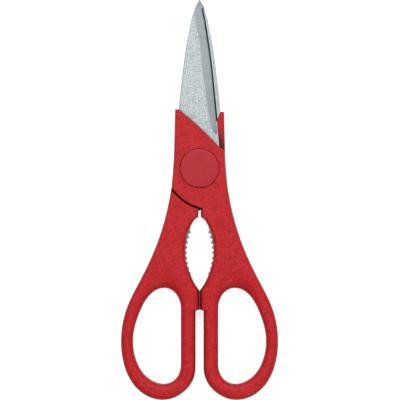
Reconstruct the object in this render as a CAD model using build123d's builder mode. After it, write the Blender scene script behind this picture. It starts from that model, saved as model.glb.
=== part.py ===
from build123d import *
import math
import os

os.makedirs("parts", exist_ok=True)

# Kitchen shears, closed and lying flat. The pivot axis is Z, the blades point
# to +Y, the finger bows to -Y, and the table is Z = 0. Lengths are in mm.

# Reach of the whole object, and of the hub between blades and bows
blade_reach = 84.25
handle_reach = 115.75
bow_half_width = 39.35
blade_half_width = 10.4
hub_reach = 24.4

# Layers, counted from the middle plane where the blades pass each other
blade_gap = 0.1
blade_thickness = 2.6
tip_thinning = 0.7
thinning_start = 10.8
handle_half_height = 5.6
sleeve_recess = 0.1
cap_rise = 0.5
middle_height = handle_half_height + cap_rise
blade_foot = blade_gap / 2
blade_face = blade_foot + blade_thickness
sleeve_foot = blade_foot + sleeve_recess

# Rounded edges of the mouldings: widest rounding, and how high it reaches
bow_rounding = 2.9
roll_height = 4.6
smooth_corner_angle = 12
round_level_shares = (0.0, 0.31, 0.586, 0.793, 0.931, 1.0)
roll_level_shares = (0.0, 0.22, 0.42, 0.62, 0.793, 0.9, 0.965, 1.0)

# Sleeve around the blade root, and the shoulder where the other arm passes
sleeve_wall = 1.9
sleeve_half_width = blade_half_width + sleeve_wall
front_sleeve_top = 29.5
rear_sleeve_top = 28.3
sleeve_flat = 1.9
sleeve_corner_shares = (0.789, -0.443)
sleeve_bulge_shares = (0.049, -0.824)
shoulder_shares = (1.146, 0.406)
shoulder_bulge_shares = (0.460, 0.725)
shoulder_gap = 0.55
neck_half_gap = 0.68
front_neck_length = 4.5
rear_neck_length = 2.9
neck_end = -hub_reach
front_neck_top = neck_end + front_neck_length
rear_neck_top = neck_end + rear_neck_length

# Stop pads, and the slot between the two inner bars
stop_half_gap = 0.02
stop_top_share = 0.404
stop_foot_share = 0.506
slot_half_width = 2.03
slot_top_share = 0.5135
slot_end_share = 0.822

# The outline goes down the outside of hub, arm and bow, round the end of the bow
# and up to the inner bar. Each entry has a place across, a place down and a share
# of bow_rounding: beside the hub in sleeve_half_width and hub_reach, and below it
# in bow_half_width and the length that is left
hub_outer_shares = (
    (1.024, -0.357, 0.35),
    (1.057, -0.041, 0.35),
    (1.130, 0.324, 0.35),
    (1.236, 0.652, 0.36),
    (1.382, 0.980, 0.38),
)
bow_shares = (
    (0.4905, 0.082, 0.44),
    (0.566, 0.1716, 0.54),
    (0.762, 0.351, 0.82),
    (0.918, 0.488, 1.00),
    (0.987, 0.605, 1.00),
    (0.996, 0.716, 1.00),
    (0.950, 0.8225, 1.00),
    (0.869, 0.8985, 1.00),
    (0.761, 0.952, 1.00),
    (0.634, 0.986, 1.00),
    (0.495, 1.000, 1.00),
    (0.360, 0.994, 1.00),
    (0.236, 0.968, 1.00),
    (0.136, 0.929, 1.00),
    (0.071, 0.878, 1.00),
)
hub_inner_shares = (
    (1.104, 0.161, 0.35),
    (1.065, -0.081, 0.35),
    (1.030, -0.522, 0.35),
    (1.014, -0.901, 0.35),
)
gap_shares = (
    (0.0584, 0.367, 1.00),
    (0.1067, 0.323, 0.83),
    (0.145, 0.279, 0.70),
    (0.1715, 0.235, 0.66),
    (0.180, 0.187, 0.66),
    (0.1715, 0.1325, 0.66),
    (0.145, 0.082, 0.62),
    (0.099, 0.0395, 0.52),
    (0.061, 0.014, 0.45),
)
stop_rounding_share = 1.38
notch_rounding_share = 1.15
slot_top_rounding_share = 0.40
neck_rounding_share = 0.35
shoulder_rounding_share = 0.21
sleeve_rounding_share = 0.14

# Finger hole: its straight inner side, then round the far end and back
hole_side_share = 0.238
hole_top_share = 0.499
hole_end_share = 0.8055
hole_shares = (
    (0.273, 0.868, 1.00, 1.00),
    (0.343, 0.900, 1.05, 1.00),
    (0.440, 0.914, 1.15, 1.00),
    (0.574, 0.9025, 1.10, 1.00),
    (0.713, 0.857, 1.00, 1.00),
    (0.804, 0.786, 1.00, 1.00),
    (0.842, 0.650, 1.00, 1.00),
    (0.763, 0.5235, 1.00, 1.00),
    (0.646, 0.4335, 1.70, 1.25),
    (0.530, 0.3955, 2.80, 1.50),
    (0.428, 0.389, 3.30, 1.58),
    (0.338, 0.4045, 2.30, 1.40),
    (0.267, 0.4425, 1.30, 1.10),
)

# Blade, from tip to sleeve: places across in blade_half_width, and places along
# as shares of the length between its heel and its tip
heel_y = 11.7
heel_step = 0.45
tip_flat = 0.3
blade_spine_shares = (
    (-0.110, 0.979),
    (-0.285, 0.919),
    (-0.400, 0.863),
    (-0.470, 0.806),
    (-0.560, 0.7445),
    (-0.690, 0.640),
    (-0.785, 0.5355),
    (-0.870, 0.431),
    (-0.950, 0.3265),
)
spine_end_share = 0.233
blade_edge_shares = (
    (0.072, 0.972),
    (0.130, 0.9165),
    (0.204, 0.862),
    (0.270, 0.806),
    (0.361, 0.7235),
    (0.458, 0.627),
    (0.554, 0.517),
    (0.650, 0.379),
    (0.721, 0.280),
)
edge_end_shares = (0.793, 0.164)
root_inset = 0.65
root_half_width = blade_half_width - root_inset
root_spine_inset = 2.7
root_spine_half_width = blade_half_width - root_spine_inset
root_shoulder_end = 21.2
root_low = -2.0

# Tang inside the arm, beside the hub and below it
tang_end_shares = (0.445, 0.324)
tang_end_width = 5.6
tang_outer_hub_shares = ((0.912, 0.474), (1.104, 0.949))
tang_outer_shares = ((0.430, 0.126), (0.500, 0.252))
tang_inner_hub_shares = ((-0.512, 0.498), (0.100, 0.865), (0.480, 1.020))
tang_inner_shares = ((0.305, 0.088), (0.330, 0.214))
key_radius = 1.5
key_points_shares = ((0.395, 0.189), (0.430, 0.271))

# Ground bevel: where it meets the flat face, as shares like the outline's
bevel_shares = (
    (-0.300, 1.0115),
    (-0.226, 0.914),
    (-0.188, 0.848),
    (-0.087, 0.7725),
    (0.014, 0.682),
    (0.091, 0.5785),
    (0.173, 0.482),
    (0.250, 0.3995),
    (0.332, 0.3125),
    (0.409, 0.2415),
    (0.481, 0.1765),
    (0.583, 0.1105),
    (0.790, 0.0745),
)
bevel_foot = 0.55
bevel_past_share = 1.5
edge_land_width = 0.42
edge_thickness = 0.12
bevel_overrun = 3.0

# Hollow-ground inner face: flat along the cutting edge, then falling towards a
# wall that stands just past the other blade's edge. Places along, shares of depth
hollow_shares = (
    (0.945, 0.12),
    (0.9165, 0.60),
    (0.862, 0.90),
    (0.806, 1.00),
    (0.7235, 1.00),
    (0.627, 1.00),
    (0.517, 1.00),
    (0.379, 1.00),
    (0.280, 1.00),
    (0.164, 1.00),
    (0.050, 1.00),
)
hollow_depth = 0.75
hollow_edge_flat = 0.9
hollow_past_edge = 0.8
hollow_wall = 0.12
cutter_overrun_share = 0.3

# Spine, broken along both faces: places along, shares of the two widths
spine_break_shares = (
    (1.020, 0.30),
    (0.979, 0.45),
    (0.919, 0.62),
    (0.863, 0.70),
    (0.806, 0.74),
    (0.7445, 0.78),
    (0.640, 0.85),
    (0.5355, 0.91),
    (0.431, 0.96),
    (0.3265, 1.00),
    (0.233, 1.00),
)
inner_break_width = 1.5
inner_break_depth = 0.3
outer_break_width = 0.5
outer_break_depth = 0.4

# Jaw inserts: the line of their notches bends with the wall of the almond-shaped
# opening. Shares across and down of its highest point, its middle and its lowest
jaw_teeth = 9
jaw_thickness = 2.4
jaw_line_shares = ((0.1126, 0.056), (0.1855, 0.196), (0.1126, 0.336))
tooth_height = 1.15
tooth_rise_share = 0.4
jaw_depth = 3.2
jaw_end_margin = 1.2

# Pivot
shank_radius = 3.0
shank_clearance = 0.05
flat_half_width = 2.4
thread_radius = 2.5
cap_wall = 2.5
cap_radius = sleeve_half_width - cap_wall
cap_groove = 0.15
cap_skirt = 1.3
cap_lid = 1.0
cap_edge_round = 0.7
washer_bore_clearance = 0.2
head_washer_radius = 6.4
head_washer_thickness = 0.5
head_washer_play = 0.04
spring_washer_radius = 5.3
spring_washer_thickness = 0.6
spring_washer_split = 0.8
head_radius = 5.0
head_thickness = 1.15
head_slot_width = 1.1
head_slot_depth = 0.6
lock_washer_radius = 5.2
lock_washer_thickness = 0.5
nut_across_flats = 8.0
nut_thickness = 1.8
thread_overrun = 0.1

middle = Plane.XY.offset(middle_height)
middle_axis = Axis((0, 0, middle_height), (0, 1, 0))


def hub_point(x_share, y_share):
    return (sleeve_half_width * x_share, -hub_reach * y_share)


def bow_point(x_share, y_share):
    return (bow_half_width * x_share, -hub_reach - (handle_reach - hub_reach) * y_share)


def blade_point(x_share, y_share):
    return (blade_half_width * x_share, heel_y + (blade_reach - heel_y) * y_share)


def ellipse_draw(height, rounding, reach):
    """How far an edge rounded over the given reach is drawn in at a height."""
    start = handle_half_height - reach
    share = min(1, max(0, (height - start) / reach))
    return rounding * (1 - math.sqrt(1 - share * share))


def unit(x, y):
    size = math.hypot(x, y)
    return (x / size, y / size)


def stretch(points, roundings, reaches=None, start=None, end=None):
    """One stretch of an outline; the material lies at its right-hand side."""
    directions = []
    last = len(points) - 1
    for index in range(len(points)):
        before = points[max(index - 1, 0)]
        after = points[min(index + 1, last)]
        directions.append(unit(after[0] - before[0], after[1] - before[1]))
    if start:
        directions[0] = unit(*start)
    if end:
        directions[last] = unit(*end)
    if reaches is None:
        reaches = [bow_rounding] * len(points)
    return (points, roundings, reaches, directions)


def corner_shift(first, second, height):
    """Shift of the corner that two stretches share, at a height."""
    x_in, y_in = first[3][-1]
    x_out, y_out = second[3][0]
    draw_in = ellipse_draw(height, first[1][-1], first[2][-1])
    draw_out = ellipse_draw(height, second[1][0], second[2][0])
    turn = x_in * y_out - y_in * x_out
    if abs(turn) < math.sin(math.radians(smooth_corner_angle)):
        return (y_out * draw_out, -x_out * draw_out)
    return (
        (draw_out * x_in - draw_in * x_out) / turn,
        (draw_out * y_in - draw_in * y_out) / turn,
    )


def section(stretches, height):
    """Outline of a rounded moulding at a height above the middle plane."""
    shifts = []
    for index in range(len(stretches)):
        shifts.append(corner_shift(stretches[index - 1], stretches[index], height))
    for index in range(len(stretches)):
        points, roundings, reaches, directions = stretches[index]
        moved = []
        for number in range(len(points)):
            draw = ellipse_draw(height, roundings[number], reaches[number])
            shift = (directions[number][1] * draw, -directions[number][0] * draw)
            if number == 0:
                shift = shifts[index]
            if number == len(points) - 1:
                shift = shifts[(index + 1) % len(stretches)]
            moved.append((points[number][0] + shift[0], points[number][1] + shift[1]))
        if len(moved) == 2:
            Line(*moved)
        elif len(moved) == 3:
            ThreePointArc(*moved)
        else:
            ends = (directions[0], directions[-1])
            Spline(*moved, tangents=ends, tangent_scalars=(1, 1))


def rounded_solid(stretches, reach, level_shares):
    """Solid with the given outline, its edges rounded at both faces."""
    wall = handle_half_height - reach
    with BuildPart() as solid:
        with BuildSketch(middle):
            with BuildLine():
                section(stretches, 0)
            make_face()
        extrude(amount=wall, both=True)
        for side in (1, -1):
            for share in level_shares:
                height = wall + reach * share
                with BuildSketch(middle.offset(side * height)):
                    with BuildLine():
                        section(stretches, height)
                    make_face()
            loft()
    return solid.part


def handle_outline(sleeve_top, neck_top):
    """Outline of one half's moulding, the half with the bow at +X."""
    round_at = {
        "sleeve": bow_rounding * sleeve_rounding_share,
        "shoulder": bow_rounding * shoulder_rounding_share,
        "neck": bow_rounding * neck_rounding_share,
        "slot": bow_rounding * slot_top_rounding_share,
        "stop": bow_rounding * stop_rounding_share,
        "notch": bow_rounding * notch_rounding_share,
    }
    top_left = (-sleeve_half_width, sleeve_top)
    top_right = (-sleeve_half_width + sleeve_flat, sleeve_top)
    corner = hub_point(*sleeve_corner_shares)
    bulge = hub_point(*sleeve_bulge_shares)
    bow = [hub_point(x_share, y_share) for x_share, y_share, share in hub_outer_shares]
    bow += [bow_point(x_share, y_share) for x_share, y_share, share in bow_shares]
    bow_rounds = [bow_rounding * entry[2] for entry in hub_outer_shares + bow_shares]
    slot_low = (slot_half_width, bow_point(0, slot_end_share)[1])
    slot_high = (slot_half_width, bow_point(0, slot_top_share)[1])
    stop_low = (stop_half_gap, bow_point(0, stop_foot_share)[1])
    stop_high = (stop_half_gap, bow_point(0, stop_top_share)[1])
    gap = [bow_point(x_share, y_share) for x_share, y_share, share in gap_shares]
    gap_rounds = [round_at["notch"]]
    gap_rounds += [bow_rounding * entry[2] for entry in gap_shares]
    gap_rounds += [round_at["neck"]]
    neck_low = (neck_half_gap, neck_end)
    neck_high = (neck_half_gap, neck_top)
    shoulder_x, shoulder_y = hub_point(*shoulder_shares)
    bulge_x, bulge_y = hub_point(*shoulder_bulge_shares)
    shoulder = [neck_high, (-bulge_x, bulge_y), (-shoulder_x, shoulder_y)]
    side = [hub_point(-x_share, y_share) for x_share, y_share, share in hub_inner_shares]
    side_rounds = [bow_rounding * entry[2] for entry in hub_inner_shares]
    side_rounds = side_rounds[:1] + side_rounds + side_rounds[-1:]
    return [
        stretch([top_left, top_right], [round_at["sleeve"]] * 2),
        stretch([top_right, bulge, corner], [round_at["sleeve"]] * 3),
        stretch([corner, bow[0]], [round_at["sleeve"]] * 2),
        stretch(bow + [slot_low], bow_rounds + [bow_rounds[-1]], end=(0, 1)),
        stretch([slot_low, slot_high], [bow_rounds[-1]] * 2),
        stretch([slot_high, stop_low], [round_at["slot"]] * 2),
        stretch([stop_low, stop_high], [round_at["stop"]] * 2),
        stretch([stop_high] + gap + [neck_low], gap_rounds),
        stretch([neck_low, neck_high], [round_at["neck"]] * 2),
        stretch(shoulder, [round_at["shoulder"]] * 3),
        stretch(shoulder[-1:] + side + [top_left], side_rounds),
    ]


def hole_outline():
    """Outline of the finger hole, rounded more where the arm rolls over into it."""
    side_high = bow_point(hole_side_share, hole_top_share)
    side_low = bow_point(hole_side_share, hole_end_share)
    points = [bow_point(entry[0], entry[1]) for entry in hole_shares]
    roundings = [bow_rounding * entry[2] for entry in hole_shares]
    reaches = [bow_rounding * entry[3] for entry in hole_shares]
    ends = [bow_rounding, bow_rounding]
    return [
        stretch([side_high, side_low], ends, ends),
        stretch(
            [side_low] + points + [side_high],
            ends[:1] + roundings + ends[:1],
            ends[:1] + reaches + ends[:1],
            start=(0, -1),
            end=(0, -1),
        ),
    ]


def blade_outline():
    """Blade and tang of the front half, as one flat blank."""
    spine = [blade_point(x_share, y_share) for x_share, y_share in blade_spine_shares]
    edge = [blade_point(x_share, y_share) for x_share, y_share in blade_edge_shares]
    inner = [hub_point(x_share, y_share) for x_share, y_share in tang_inner_hub_shares]
    inner += [bow_point(x_share, y_share) for x_share, y_share in tang_inner_shares]
    outer = [hub_point(x_share, y_share) for x_share, y_share in tang_outer_hub_shares]
    outer += [bow_point(x_share, y_share) for x_share, y_share in tang_outer_shares]
    spine_end = blade_point(-1, spine_end_share)
    root_top = (-root_spine_half_width, root_shoulder_end)
    root_left = (-root_spine_half_width, root_low)
    root_right = (root_half_width, root_low)
    tang_x, tang_y = bow_point(*tang_end_shares)
    end_left = (tang_x - tang_end_width / 2, tang_y)
    end_right = (tang_x + tang_end_width / 2, tang_y)
    heel = (root_half_width, heel_y)
    edge_end = blade_point(*edge_end_shares)
    edge_step = (edge_end[0] + heel_step, edge_end[1])
    down = ((0, -1), (0, -1))
    up = ((0, 1), (0, 1))
    Spline((-tip_flat, blade_reach), *spine, spine_end)
    Line(spine_end, root_top)
    Line(root_top, root_left)
    Spline(root_left, *inner, end_left, tangents=down, tangent_scalars=(1, 1))
    Line(end_left, end_right)
    Spline(end_right, *reversed(outer), root_right, tangents=up, tangent_scalars=(1, 1))
    Line(root_right, heel)
    Line(heel, edge_step)
    Line(edge_step, edge_end)
    Spline(edge_end, *reversed(edge), (tip_flat, blade_reach))
    Line((tip_flat, blade_reach), (-tip_flat, blade_reach))


def face_height(y):
    """Height of the blade's outer face above the middle plane, thinner at the tip."""
    return blade_face - tip_thinning * (y - thinning_start) / (blade_reach - thinning_start)


def across(points, y):
    """Where a line through points, given from the tip down, lies at a height."""
    for upper, lower in zip(points, points[1:]):
        if y >= lower[1]:
            share = (y - lower[1]) / (upper[1] - lower[1])
            return lower[0] + (upper[0] - lower[0]) * share
    return points[-1][0]


def edge_x(y):
    """Where the cutting edge lies at a given distance from the pivot."""
    points = [(tip_flat, blade_reach)]
    points += [blade_point(x_share, y_share) for x_share, y_share in blade_edge_shares]
    points += [blade_point(*edge_end_shares), (root_half_width, heel_y)]
    return across(points, y)


def spine_x(y):
    """Where the spine lies at a given distance from the pivot."""
    points = [(-tip_flat, blade_reach)]
    points += [blade_point(x_share, y_share) for x_share, y_share in blade_spine_shares]
    points += [blade_point(-1, spine_end_share)]
    return across(points, y)


def blade_blank():
    """Blade and tang before grinding, thinned towards the tip."""
    far = blade_reach + bevel_overrun
    above = middle_height + blade_face + blade_thickness
    with BuildPart() as blank:
        with BuildSketch(middle.offset(blade_foot)):
            with BuildLine():
                blade_outline()
            make_face()
            keys = [bow_point(x_share, y_share) for x_share, y_share in key_points_shares]
            with Locations(*keys):
                Circle(key_radius, mode=Mode.SUBTRACT)
        extrude(amount=blade_thickness)
        with BuildSketch(Plane.YZ):
            with BuildLine():
                Polyline(
                    (thinning_start, middle_height + blade_face),
                    (far, middle_height + face_height(far)),
                    (far, above),
                    (thinning_start, above),
                    close=True,
                )
            make_face()
        extrude(amount=2 * blade_half_width, both=True, mode=Mode.SUBTRACT)
    return blank.part


def corner_points(x, z, width, depth):
    """Triangle that takes a corner away, reaching past both faces that meet there."""
    extra = cutter_overrun_share
    return (
        (x + width * (1 + extra), z - depth * extra),
        (x - width * extra, z + depth * (1 + extra)),
        (x - width * extra, z - depth * extra),
    )


def ground_blade(keyed):
    """Blade with its bevel, edge land, hollow inner face, broken spine and bore."""
    bore = shank_radius if keyed else shank_radius + shank_clearance
    with BuildPart() as blade:
        add(blade_blank())
        with BuildSketch(middle.offset(blade_foot)):
            Circle(bore)
            if keyed:
                Rectangle(2 * flat_half_width, 2 * bore, mode=Mode.INTERSECT)
        extrude(amount=blade_thickness, mode=Mode.SUBTRACT)
        for x_share, y_share in bevel_shares:
            x, y = blade_point(x_share, y_share)
            edge = edge_x(y)
            land = edge - edge_land_width
            inner = min(x, land)
            foot = blade_foot + bevel_foot
            crest = foot + (face_height(y) - foot) * bevel_past_share
            crest_x = land + (inner - land) * bevel_past_share
            floor = middle_height + blade_foot + edge_thickness
            with BuildSketch(Plane.XZ.offset(-y)):
                with BuildLine():
                    Polyline(
                        (crest_x, middle_height + crest),
                        (land, middle_height + foot),
                        (edge, floor),
                        (edge + bevel_overrun, floor),
                        (edge + bevel_overrun, middle_height + crest),
                        close=True,
                    )
                make_face()
        loft(mode=Mode.SUBTRACT)
        foot = middle_height + blade_foot
        for y_share, depth_share in hollow_shares:
            y = blade_point(0, y_share)[1]
            wall_x = -edge_x(y) - hollow_past_edge
            flat_x = edge_x(y) - hollow_edge_flat
            fall = flat_x - wall_x - hollow_wall
            depth = hollow_depth * depth_share
            reach = cutter_overrun_share
            with BuildSketch(Plane.XZ.offset(-y)):
                with BuildLine():
                    Polyline(
                        (flat_x + fall * reach, foot - depth * reach),
                        (wall_x + hollow_wall, foot + depth),
                        (wall_x - hollow_wall * reach, foot - depth * reach),
                        close=True,
                    )
                make_face()
        loft(mode=Mode.SUBTRACT)
        breaks = (
            (False, inner_break_width, inner_break_depth),
            (True, outer_break_width, -outer_break_depth),
        )
        for at_outer_face, width, depth in breaks:
            for y_share, share in spine_break_shares:
                y = blade_point(0, y_share)[1]
                level = middle_height + face_height(y) if at_outer_face else foot
                with BuildSketch(Plane.XZ.offset(-y)):
                    with BuildLine():
                        Polyline(*corner_points(spine_x(y), level, width * share, depth * share), close=True)
                    make_face()
            loft(mode=Mode.SUBTRACT)
    return blade.part


def jaw_strip(toothed):
    """Steel strip of the front half, or without its teeth the room cut for it."""
    high, middle_point, low = [bow_point(x_share, y_share) for x_share, y_share in jaw_line_shares]
    rise = middle_point[0] - high[0]
    half_chord = (high[1] - low[1]) / 2
    notch_radius = (half_chord**2 + rise**2) / (2 * rise)
    tip_radius = notch_radius - tooth_height
    back_radius = notch_radius + jaw_depth
    centre = (middle_point[0] - notch_radius, (high[1] + low[1]) / 2)
    half_angle = math.asin(half_chord / notch_radius)
    teeth_angle = half_angle - jaw_end_margin / notch_radius
    pitch = 2 * teeth_angle / jaw_teeth

    def on_arc(radius, angle):
        return (centre[0] + radius * math.cos(angle), centre[1] + radius * math.sin(angle))

    with BuildPart() as strip:
        with BuildSketch(middle):
            with BuildLine():
                Line(on_arc(notch_radius, half_angle), on_arc(notch_radius, teeth_angle))
                if toothed:
                    teeth = []
                    for tooth in range(jaw_teeth):
                        start = teeth_angle - tooth * pitch
                        teeth.append(on_arc(notch_radius, start))
                        teeth.append(on_arc(tip_radius, start - pitch * tooth_rise_share))
                        teeth.append(on_arc(tip_radius, start - pitch * (1 - tooth_rise_share)))
                    Polyline(*teeth, on_arc(notch_radius, -teeth_angle))
                else:
                    Line(on_arc(notch_radius, teeth_angle), on_arc(tip_radius, teeth_angle))
                    ThreePointArc(
                        on_arc(tip_radius, teeth_angle),
                        on_arc(tip_radius, 0),
                        on_arc(tip_radius, -teeth_angle),
                    )
                    Line(on_arc(tip_radius, -teeth_angle), on_arc(notch_radius, -teeth_angle))
                Line(on_arc(notch_radius, -teeth_angle), on_arc(notch_radius, -half_angle))
                Line(on_arc(notch_radius, -half_angle), on_arc(back_radius, -half_angle))
                ThreePointArc(
                    on_arc(back_radius, -half_angle),
                    on_arc(back_radius, 0),
                    on_arc(back_radius, half_angle),
                )
                Line(on_arc(back_radius, half_angle), on_arc(notch_radius, half_angle))
            make_face()
        extrude(amount=jaw_thickness / 2, both=True)
    return strip.part


def away(x, y):
    """A point moved away from the pivot by the gap beside a hub."""
    share = 1 + shoulder_gap / math.hypot(x, y)
    return (x * share, y * share)


def moulded_handle(sleeve_top, neck_top, other_neck_top):
    """Sleeve, arm and finger bow in one moulding, with room for the steel inside."""
    zone_left = -2 * bow_half_width
    zone_right = 2 * bow_half_width
    with BuildPart() as body:
        outline = handle_outline(sleeve_top, neck_top)
        add(rounded_solid(outline, bow_rounding, round_level_shares))
        add(rounded_solid(hole_outline(), roll_height, roll_level_shares), mode=Mode.SUBTRACT)
        with BuildSketch(middle.offset(sleeve_foot)):
            with BuildLine():
                near = (neck_half_gap, other_neck_top - shoulder_gap)
                bulge = away(*hub_point(*shoulder_bulge_shares))
                outer = away(*hub_point(*shoulder_shares))
                run = (zone_right, outer[1] + zone_right - outer[0])
                Line((zone_left, neck_end), (neck_half_gap, neck_end))
                Line((neck_half_gap, neck_end), near)
                ThreePointArc(near, bulge, outer)
                Line(outer, run)
                Line(run, (zone_right, blade_reach))
                Line((zone_right, blade_reach), (zone_left, blade_reach))
                Line((zone_left, blade_reach), (zone_left, neck_end))
            make_face()
        extrude(amount=-2 * handle_half_height, mode=Mode.SUBTRACT)
        add(blade_blank(), mode=Mode.SUBTRACT)
        with BuildSketch(middle.offset(blade_face)):
            Circle(cap_radius + cap_groove)
        extrude(amount=handle_half_height, mode=Mode.SUBTRACT)
        add(jaw_strip(toothed=False), mode=Mode.SUBTRACT)
    return body.part


def pivot_cap():
    """Snap-in cap: a lid with a rounded rim on a skirt that stands on the blade."""
    with BuildPart() as cap:
        with BuildSketch(middle.offset(blade_face)):
            Circle(cap_radius)
        extrude(amount=handle_half_height + cap_rise - blade_face)
        fillet(cap.edges().group_by(Axis.Z)[-1], radius=cap_edge_round)
        with BuildSketch(middle.offset(blade_face)):
            Circle(cap_radius - cap_skirt)
        extrude(amount=handle_half_height + cap_rise - blade_face - cap_lid, mode=Mode.SUBTRACT)
    return cap.part


def washer(foot, thickness, radius, bore, split):
    """Flat ring lying on a plane above the middle one; split opens it at one side."""
    with BuildPart() as ring:
        with BuildSketch(middle.offset(foot)):
            Circle(radius)
            Circle(bore, mode=Mode.SUBTRACT)
            if split:
                with Locations((radius / 2, 0)):
                    Rectangle(radius, split, mode=Mode.SUBTRACT)
        extrude(amount=thickness)
    return ring.part


def to_rear(piece):
    """The same piece at the other side of the middle plane."""
    return piece.rotate(middle_axis, 180)


front_blade = ground_blade(keyed=False)
rear_blade = to_rear(ground_blade(keyed=True))
front_jaw = jaw_strip(toothed=True)
rear_jaw = to_rear(jaw_strip(toothed=True))
front_handle = moulded_handle(front_sleeve_top, front_neck_top, rear_neck_top)
rear_handle = to_rear(moulded_handle(rear_sleeve_top, rear_neck_top, front_neck_top))
front_cap = pivot_cap()
rear_cap = to_rear(pivot_cap())

# Stack under the front cap, from the blade's face outwards
head_washer_foot = blade_face + head_washer_play
spring_foot = head_washer_foot + head_washer_thickness
head_foot = spring_foot + spring_washer_thickness
head_top = head_foot + head_thickness
shank_bore = shank_radius + washer_bore_clearance
head_washer = washer(
    head_washer_foot,
    head_washer_thickness,
    head_washer_radius,
    shank_bore,
    split=0,
)
spring_washer = washer(
    spring_foot,
    spring_washer_thickness,
    spring_washer_radius,
    shank_bore,
    split=spring_washer_split,
)

# Stack under the rear cap, built above the middle plane and turned over
nut_foot = blade_face + lock_washer_thickness
nut_top = nut_foot + nut_thickness
thread_bore = thread_radius + washer_bore_clearance
lock_washer = to_rear(
    washer(
        blade_face,
        lock_washer_thickness,
        lock_washer_radius,
        thread_bore,
        split=0,
    )
)

with BuildPart() as nut_body:
    with BuildSketch(middle.offset(nut_foot)):
        RegularPolygon(nut_across_flats / 2, 6, major_radius=False)
        Circle(thread_radius, mode=Mode.SUBTRACT)
    extrude(amount=nut_thickness)
pivot_nut = to_rear(nut_body.part)

with BuildPart() as screw_body:
    with BuildSketch(middle.offset(head_foot)):
        Circle(head_radius)
    extrude(amount=head_thickness)
    with BuildSketch(middle.offset(head_top)):
        Rectangle(2 * head_radius, head_slot_width)
    extrude(amount=-head_slot_depth, mode=Mode.SUBTRACT)
    with BuildSketch(middle):
        Circle(shank_radius)
    extrude(amount=head_foot)
    with BuildSketch(middle):
        Circle(shank_radius)
        Rectangle(2 * flat_half_width, 2 * shank_radius, mode=Mode.INTERSECT)
    extrude(amount=-blade_face)
    with BuildSketch(middle.offset(-blade_face)):
        Circle(thread_radius)
    extrude(amount=-(nut_top + thread_overrun - blade_face))
pivot_screw = screw_body.part

pieces = {
    "front_blade": front_blade,
    "rear_blade": rear_blade,
    "front_handle": front_handle,
    "rear_handle": rear_handle,
    "front_jaw": front_jaw,
    "rear_jaw": rear_jaw,
    "front_cap": front_cap,
    "rear_cap": rear_cap,
    "pivot_screw": pivot_screw,
    "pivot_nut": pivot_nut,
    "head_washer": head_washer,
    "spring_washer": spring_washer,
    "lock_washer": lock_washer,
}
for name, piece in pieces.items():
    piece.label = name
    export_step(piece, f"parts/{name}.step")
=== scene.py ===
"""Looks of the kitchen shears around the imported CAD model: materials, light and camera."""

import math

import bpy
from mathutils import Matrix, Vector


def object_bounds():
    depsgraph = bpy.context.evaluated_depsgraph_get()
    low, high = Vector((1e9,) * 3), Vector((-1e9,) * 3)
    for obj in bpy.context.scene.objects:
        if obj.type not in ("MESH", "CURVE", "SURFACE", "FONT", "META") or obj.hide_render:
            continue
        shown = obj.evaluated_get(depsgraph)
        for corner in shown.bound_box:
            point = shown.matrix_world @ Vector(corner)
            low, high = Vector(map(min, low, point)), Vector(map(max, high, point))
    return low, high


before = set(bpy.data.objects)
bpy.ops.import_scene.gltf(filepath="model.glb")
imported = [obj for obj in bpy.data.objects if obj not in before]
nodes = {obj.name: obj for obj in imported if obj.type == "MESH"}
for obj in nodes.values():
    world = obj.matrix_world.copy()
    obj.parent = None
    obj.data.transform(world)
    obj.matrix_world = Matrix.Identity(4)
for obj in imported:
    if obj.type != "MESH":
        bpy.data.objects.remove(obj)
cad_low, cad_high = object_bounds()
scene = bpy.context.scene

MM = 0.001
WHITE = (1, 1, 1, 1)
middle_height = (cad_low.z + cad_high.z) / 2


def linear(red, green, blue):
    """A colour as sRGB values of 0 to 255, turned into the linear values that shaders use."""
    values = []
    for value in (red, green, blue):
        share = value / 255
        values.append(share / 12.92 if share <= 0.04045 else ((share + 0.055) / 1.055) ** 2.4)
    return (*values, 1.0)


# Materials


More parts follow.
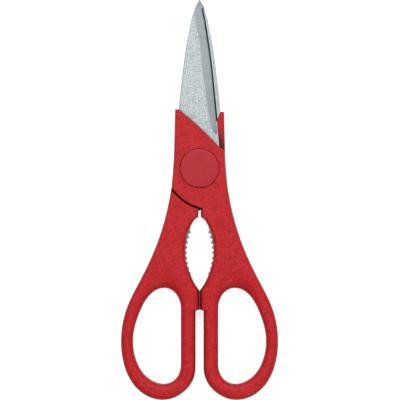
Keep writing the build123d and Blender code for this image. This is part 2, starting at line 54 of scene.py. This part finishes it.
class Recipe:
    """The node tree of one material, with short calls for the nodes in it."""

    # A mix node has sockets of one name for each kind of value: these are the colour ones
    mix_factor = 0
    mix_first = 6
    mix_second = 7
    mix_result = 2

    def __init__(self, name):
        self.material = bpy.data.materials.new(name)
        self.material.use_nodes = True
        self.tree = self.material.node_tree
        self.shader = self.tree.nodes["Principled BSDF"]
        self.coordinates = self.tree.nodes.new("ShaderNodeTexCoord")

    def add(self, kind, sockets=None, **settings):
        node = self.tree.nodes.new(kind)
        for key, value in settings.items():
            setattr(node, key, value)
        for key, value in (sockets or {}).items():
            self.give(node.inputs[key], value)
        return node

    def give(self, socket, value):
        if isinstance(value, bpy.types.NodeSocket):
            self.tree.links.new(value, socket)
        else:
            socket.default_value = value

    def set(self, **values):
        """Sets sockets of the main shader, with _ standing for a space."""
        for key, value in values.items():
            self.give(self.shader.inputs[key.replace("_", " ")], value)

    def object_space(self, stretch=(1, 1, 1)):
        mapping = self.add("ShaderNodeMapping", {"Vector": self.coordinates.outputs["Object"]})
        mapping.inputs["Scale"].default_value = stretch
        return mapping.outputs["Vector"]

    def noise(self, scale, detail=2.0, roughness=0.5, stretch=(1, 1, 1)):
        node = self.add(
            "ShaderNodeTexNoise",
            {
                "Vector": self.object_space(stretch),
                "Scale": scale,
                "Detail": detail,
                "Roughness": roughness,
            },
        )
        return node.outputs["Fac"]

    def math(self, operation, first, second=0.0, clamp=False):
        node = self.add("ShaderNodeMath", {0: first, 1: second}, operation=operation, use_clamp=clamp)
        return node.outputs["Value"]

    def spread(self, value, low, high, out_low=0.0, out_high=1.0, smooth=True):
        """The value from low to high, brought to the range out_low to out_high."""
        node = self.add(
            "ShaderNodeMapRange",
            {
                "Value": value,
                "From Min": low,
                "From Max": high,
                "To Min": out_low,
                "To Max": out_high,
            },
            interpolation_type="SMOOTHSTEP" if smooth else "LINEAR",
        )
        return node.outputs["Result"]

    def mix(self, factor, first, second):
        node = self.add("ShaderNodeMix", data_type="RGBA")
        self.give(node.inputs[self.mix_factor], factor)
        self.give(node.inputs[self.mix_first], first)
        self.give(node.inputs[self.mix_second], second)
        return node.outputs[self.mix_result]

    def bump(self, height, distance, normal=None):
        sockets = {"Height": height, "Distance": distance}
        if normal:
            sockets["Normal"] = normal
        return self.add("ShaderNodeBump", sockets).outputs["Normal"]


# Between these values lies most of what a noise texture gives
noise_low = 0.3
noise_high = 0.7


def moulding_material(name, light, dark, roughness, grain_depth, coat=0.0):
    """Moulded plastic with an even spark-eroded grain and a faint mottle, with painted shade from an ambient
    occlusion node in its gaps and where it nears other parts or the floor.
    """
    painted_shade_reach = 6 * MM
    painted_shade_openness = 0.60
    painted_shade_colour = linear(94, 8, 15)
    grain_scale = 2000
    mottle_scale = 650
    grain_share = 0.75
    dark_tone = 0.42
    light_tone = 0.58
    roughness_change = 0.05

    recipe = Recipe(name)
    # Painted shade: where the ambient occlusion value falls, the colour goes towards a dark red
    openness = recipe.add("ShaderNodeAmbientOcclusion", {"Distance": painted_shade_reach}).outputs["AO"]
    grain = recipe.noise(grain_scale, detail=3, roughness=0.7)
    mottle = recipe.noise(mottle_scale, detail=2)
    grain_part = recipe.math("MULTIPLY", grain, grain_share)
    mottle_part = recipe.math("MULTIPLY", mottle, 1 - grain_share)
    tone = recipe.spread(recipe.math("ADD", grain_part, mottle_part), dark_tone, light_tone)
    colour = recipe.mix(tone, dark, light)
    rough_low = roughness - roughness_change
    rough_high = roughness + roughness_change
    recipe.set(
        Specular_IOR_Level=0.22,
        Coat_Weight=coat,
        Coat_Roughness=0.1,
        Base_Color=recipe.mix(recipe.spread(openness, painted_shade_openness, 1.0), painted_shade_colour, colour),
        Roughness=recipe.spread(grain, noise_low, noise_high, rough_low, rough_high),
        Normal=recipe.bump(grain, grain_depth),
    )
    return recipe.material


class BladeZones:
    """Where each finish of a blade lies, and where shade is painted on it, as shares from 0 to 1 that nodes
    work out.
    """

    level_upward = 0.995
    tilted_upward = 0.985
    outside_depth = 1.5 * MM
    inside_depth = 1.0 * MM
    inward_facing = -0.3
    hollow_thins_from = 74 * MM
    hollow_thins_to = 80.3 * MM
    hollow_depth = 0.62 * MM
    hollow_depth_at_tip = 0.08 * MM
    hollow_fade = 0.06 * MM
    land_flattest = (0.76, 0.73)
    land_steepest = (0.50, 0.60)
    edge_from = 20 * MM
    edge_full_at = 24 * MM
    tang_shade_wobble = 4 * MM
    wobble_scale = 160
    tang_shade_from = -5 * MM
    tang_shade_full_at = -8 * MM

    def __init__(self, recipe):
        self.recipe = recipe
        normal = recipe.add("ShaderNodeSeparateXYZ", {"Vector": recipe.coordinates.outputs["Normal"]})
        place = recipe.add("ShaderNodeSeparateXYZ", {"Vector": recipe.coordinates.outputs["Object"]})
        self.along = place.outputs["Y"]
        self.upward = recipe.math("ABSOLUTE", normal.outputs["Z"])
        height = recipe.math("SUBTRACT", place.outputs["Z"], middle_height)
        self.depth = recipe.math("ABSOLUTE", height)
        facing = recipe.math("MULTIPLY", recipe.math("SIGN", height), normal.outputs["Z"])
        self.inward = recipe.math("LESS_THAN", facing, self.inward_facing)
        self.tilted = recipe.spread(self.upward, self.level_upward, self.tilted_upward)

    def ground(self):
        """Bevel and inner face, against the blasted flat."""
        inside = self.recipe.spread(self.depth, self.outside_depth, self.inside_depth)
        return self.recipe.math("MAXIMUM", self.tilted, inside)

    def bevel(self):
        """Tilted faces that don't look towards the other blade."""
        return self.recipe.math("SUBTRACT", self.tilted, self.inward, clamp=True)

    def hollow_painted_shade(self):
        """Painted shade on the deep end of the inner face, which narrows out towards the tip."""
        limit = self.recipe.spread(
            self.along,
            self.hollow_thins_from,
            self.hollow_thins_to,
            self.hollow_depth,
            self.hollow_depth_at_tip,
            smooth=False,
        )
        past_limit = self.recipe.math("SUBTRACT", self.depth, limit)
        return self.recipe.math("MULTIPLY", self.recipe.spread(past_limit, 0, self.hollow_fade), self.inward)

    def edge_land(self):
        """The narrow land along the cutting edge, by how steep it stands."""
        not_flatter = self.recipe.spread(self.upward, *self.land_flattest)
        not_steeper = self.recipe.spread(self.upward, *self.land_steepest)
        steepness = self.recipe.math("MULTIPLY", not_flatter, not_steeper)
        reach = self.recipe.spread(self.along, self.edge_from, self.edge_full_at)
        return self.recipe.math("MULTIPLY", steepness, reach)

    def scale(self):
        """Near-black painted shade on the tang, where it shows in the deep slits between the parts, with an
        uneven end.
        """
        uneven = self.recipe.noise(self.wobble_scale, detail=3)
        wobble = self.recipe.math("MULTIPLY", uneven, self.tang_shade_wobble)
        place = self.recipe.math("ADD", self.along, wobble)
        return self.recipe.spread(place, self.tang_shade_from, self.tang_shade_full_at)


def blade_material():
    """Steel: blasted outside, ground on the bevel and inside, with painted shade in the deep end of the
    hollow and near-black painted shade on the tang.
    """
    dark_tone = 0.35
    light_tone = 0.65
    blast_scale = 1900
    blast_stretch = (1, 0.8, 1)
    blast_depth = 0.02 * MM
    stroke_scale = 60
    stroke_stretch = (1, 45, 1)
    stroke_depth = 0.01 * MM
    metallic_steel = 1.0
    metallic_edge_land = 0.25
    smoothest = 0.50
    roughest = 0.58

    recipe = Recipe("blade_steel_ground")
    zones = BladeZones(recipe)
    blast = recipe.noise(blast_scale, detail=3, roughness=0.7, stretch=blast_stretch)
    strokes = recipe.noise(stroke_scale, detail=5, roughness=0.7, stretch=stroke_stretch)
    blast_tone = recipe.spread(blast, dark_tone, light_tone)
    stroke_tone = recipe.spread(strokes, dark_tone, light_tone)

    flat = recipe.mix(blast_tone, linear(132, 139, 142), linear(184, 191, 193))
    inner = recipe.mix(stroke_tone, linear(146, 154, 157), linear(170, 178, 180))
    bevel = recipe.mix(stroke_tone, linear(143, 152, 156), linear(163, 172, 176))
    # Painted shade: near-black colour on the tang, standing in for the shade of the deep slits where it
    # shows
    scale = recipe.mix(blast_tone, linear(30, 31, 34), linear(48, 47, 47))
    steel = recipe.mix(zones.ground(), flat, recipe.mix(zones.bevel(), inner, bevel))
    # Painted shade: the deep end of each blade's hollow, beside the other blade's edge, is darkened to stand
    # in for its shade
    steel_and_hollow_shade = recipe.mix(zones.hollow_painted_shade(), steel, linear(38, 42, 44))
    recipe.set(
        Metallic=recipe.spread(zones.edge_land(), 0, 1, metallic_steel, metallic_edge_land),
        Base_Color=recipe.mix(zones.scale(), steel_and_hollow_shade, scale),
        Roughness=recipe.spread(strokes, noise_low, noise_high, smoothest, roughest),
        Normal=recipe.bump(blast, blast_depth, normal=recipe.bump(strokes, stroke_depth)),
    )
    return recipe.material


def plain_steel_material(name, light, dark, roughness, streak_scale):
    """Rolled or turned steel with fine streaks and uneven gloss."""
    streaks_per_stain = 6
    streak_depth = 0.01 * MM
    roughness_change = 0.06

    recipe = Recipe(name)
    streaks = recipe.noise(streak_scale, detail=4, roughness=0.6, stretch=(1, 8, 1))
    stain = recipe.noise(streak_scale / streaks_per_stain, detail=2)
    rough_low = roughness - roughness_change
    rough_high = roughness + roughness_change
    recipe.set(
        Metallic=1.0,
        Base_Color=recipe.mix(recipe.spread(streaks, noise_low, noise_high), dark, light),
        Roughness=recipe.spread(stain, noise_low, noise_high, rough_low, rough_high),
        Normal=recipe.bump(streaks, streak_depth),
    )
    return recipe.material


handle_grain_depth = 0.08 * MM
cap_grain_depth = 0.012 * MM

red_moulding = moulding_material(
    "red_moulding_grained",
    light=linear(214, 32, 40),
    dark=linear(163, 14, 22),
    roughness=0.42,
    grain_depth=handle_grain_depth,
)
cap_plastic = moulding_material(
    "cap_plastic_satin",
    light=linear(190, 29, 39),
    dark=linear(174, 22, 33),
    roughness=0.24,
    grain_depth=cap_grain_depth,
    coat=0.1,
)
blade_steel = blade_material()
jaw_steel = plain_steel_material(
    "jaw_steel_stamped",
    light=linear(136, 142, 146),
    dark=linear(108, 114, 118),
    roughness=0.34,
    streak_scale=900,
)
fastener_steel = plain_steel_material(
    "fastener_steel_turned",
    light=linear(190, 190, 186),
    dark=linear(160, 160, 156),
    roughness=0.3,
    streak_scale=700,
)

materials_by_slot = {
    "blade_steel": (blade_steel, ["front_blade", "rear_blade"]),
    "red_moulding": (red_moulding, ["front_handle", "rear_handle"]),
    "jaw_steel": (jaw_steel, ["front_jaw", "rear_jaw"]),
    "cap_plastic": (cap_plastic, ["front_cap", "rear_cap"]),
    "fastener_steel": (
        fastener_steel,
        ["pivot_screw", "pivot_nut", "head_washer", "spring_washer", "lock_washer"],
    ),
}
for slot, (material, names) in materials_by_slot.items():
    for name in names:
        piece = nodes[name]
        piece.data.materials.clear()
        piece.data.materials.append(material)


jaw_edge = 0.2 * MM
jaw_edge_angle = 30
blade_edge = 0.08 * MM
blade_edge_angle = 12
edge_segments = 2


def soften(name, width, angle):
    """Breaks the edges of a CAD node that are sharper than an angle in degrees."""
    modifier = nodes[name].modifiers.new("broken_edges", "BEVEL")
    modifier.width = width
    modifier.segments = edge_segments
    modifier.limit_method = "ANGLE"
    modifier.angle_limit = math.radians(angle)
    modifier.harden_normals = True


for name in ("front_jaw", "rear_jaw"):
    soften(name, jaw_edge, jaw_edge_angle)
for name in ("front_blade", "rear_blade"):
    soften(name, blade_edge, blade_edge_angle)


# Floor and light

# The floor lies just under the table plane, so that it shares no plane with the rear cap
floor_reach = 3.0
floor_drop = 0.02 * MM
floor_glow = 0.75
floor_grey_to_object = (0.15, 0.15, 0.15, 1)
floor_grey_to_eye = (0.8, 0.8, 0.8, 1)
white_to = ("Is Camera Ray", "Is Glossy Ray", "Is Transmission Ray")

floor_height = cad_low.z - floor_drop
floor_mesh = bpy.data.meshes.new("floor")
corner_signs = [(-1, -1), (1, -1), (1, 1), (-1, 1)]
corners = [(x * floor_reach, y * floor_reach, floor_height) for x, y in corner_signs]
floor_mesh.from_pydata(corners, [], [(0, 1, 2, 3)])
floor = bpy.data.objects.new("floor", floor_mesh)
scene.collection.objects.link(floor)

floor_recipe = Recipe("floor_white")
floor_rays = floor_recipe.add("ShaderNodeLightPath")
seen = 0.0
for kind in white_to:
    seen = floor_recipe.math("MAXIMUM", seen, floor_rays.outputs[kind])
floor_recipe.set(
    Base_Color=floor_recipe.mix(seen, floor_grey_to_object, floor_grey_to_eye),
    Roughness=1.0,
    Specular_IOR_Level=0.0,
    Emission_Color=WHITE,
    Emission_Strength=floor_recipe.math("MULTIPLY", seen, floor_glow),
)
floor_mesh.materials.append(floor_recipe.material)

# The sky lights the object most from one side overhead, and looks white itself
brightest_towards = (0.14, 0.46, 0.88)
sky_low = 0.02
sky_high = 0.70

world = bpy.data.worlds.new("studio")
scene.world = world
world.use_nodes = True
sky = world.node_tree
towards = sky.nodes.new("ShaderNodeVectorMath")
towards.operation = "DOT_PRODUCT"
towards.inputs[1].default_value = brightest_towards
sky.links.new(sky.nodes.new("ShaderNodeTexCoord").outputs["Generated"], towards.inputs[0])
sky_light = sky.nodes.new("ShaderNodeMapRange")
sky_light.inputs["To Min"].default_value = sky_low
sky_light.inputs["To Max"].default_value = sky_high
sky.links.new(towards.outputs["Value"], sky_light.inputs["Value"])
sky_rays = sky.nodes.new("ShaderNodeLightPath")
strength = sky_light.outputs["Result"]
for kind in white_to:
    brighter = sky.nodes.new("ShaderNodeMath")
    brighter.operation = "MAXIMUM"
    sky.links.new(strength, brighter.inputs[0])
    sky.links.new(sky_rays.outputs[kind], brighter.inputs[1])
    strength = brighter.outputs["Value"]
background = sky.nodes["Background"]
background.inputs["Color"].default_value = WHITE
sky.links.new(strength, background.inputs["Strength"])


def softbox(name, place, target, side, power):
    """A square lamp in metres and watts, aimed at a point."""
    lamp = bpy.data.lights.new(name, "AREA")
    lamp.shape = "SQUARE"
    lamp.size = side
    lamp.energy = power
    holder = bpy.data.objects.new(name, lamp)
    holder.location = place
    aim = Vector(target) - Vector(place)
    holder.rotation_euler = aim.to_track_quat("-Z", "Y").to_euler()
    scene.collection.objects.link(holder)


softbox("key_softbox", place=(-0.1, 0.7, 1.1), target=(-0.05, 0.2, 0), side=1.5, power=11.4)
softbox("rim_light", place=(0.5, -0.9, 1.0), target=(0, 0, 0), side=0.08, power=3.0)

# Camera

frame_width = 200.24 * MM
lens = 300.0
sensor = 36.0
aim_across = 0.22 * MM
aim_along = -15.87 * MM
nearest_seen = 0.1
farthest_seen = 10.0
centre = Vector((aim_across, aim_along, cad_high.z / 2))
distance = frame_width * lens / sensor
camera_data = bpy.data.cameras.new("camera")
camera_data.lens = lens
camera_data.sensor_width = sensor
camera_data.clip_start = nearest_seen
camera_data.clip_end = farthest_seen
camera = bpy.data.objects.new("camera", camera_data)
camera.location = centre + Vector((0, 0, distance))
scene.collection.objects.link(camera)
scene.camera = camera

scene.view_settings.view_transform = "Standard"
